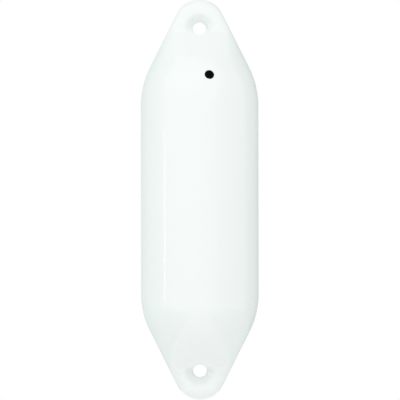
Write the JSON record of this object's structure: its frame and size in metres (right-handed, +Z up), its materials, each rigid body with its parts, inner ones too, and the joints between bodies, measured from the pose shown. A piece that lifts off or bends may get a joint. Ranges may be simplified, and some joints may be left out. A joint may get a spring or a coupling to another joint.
{
  "type": "boat fender",
  "caption": "Inflatable cylindrical boat fender with tapered ends, a flared line eye moulded into each end and a rubber inflation valve on the shoulder.",
  "frame": {"origin": "centre of the top eye, where a line holds the hanging fender", "axes": "+Z up along the fender, from the bottom eye to the top eye; -Y out of the front, the side of the valve; both eyes are bored along Y"},
  "size_m": [0.165, 0.165, 0.56],
  "materials": {
    "soft_vinyl": "soft white vinyl with a moulded semi-gloss skin",
    "valve_rubber": "matt black rubber"
  },
  "bodies": {
    "root": {"fender_body": "soft_vinyl", "inflation_valve": "valve_rubber"}
  },
  "joints": []
}
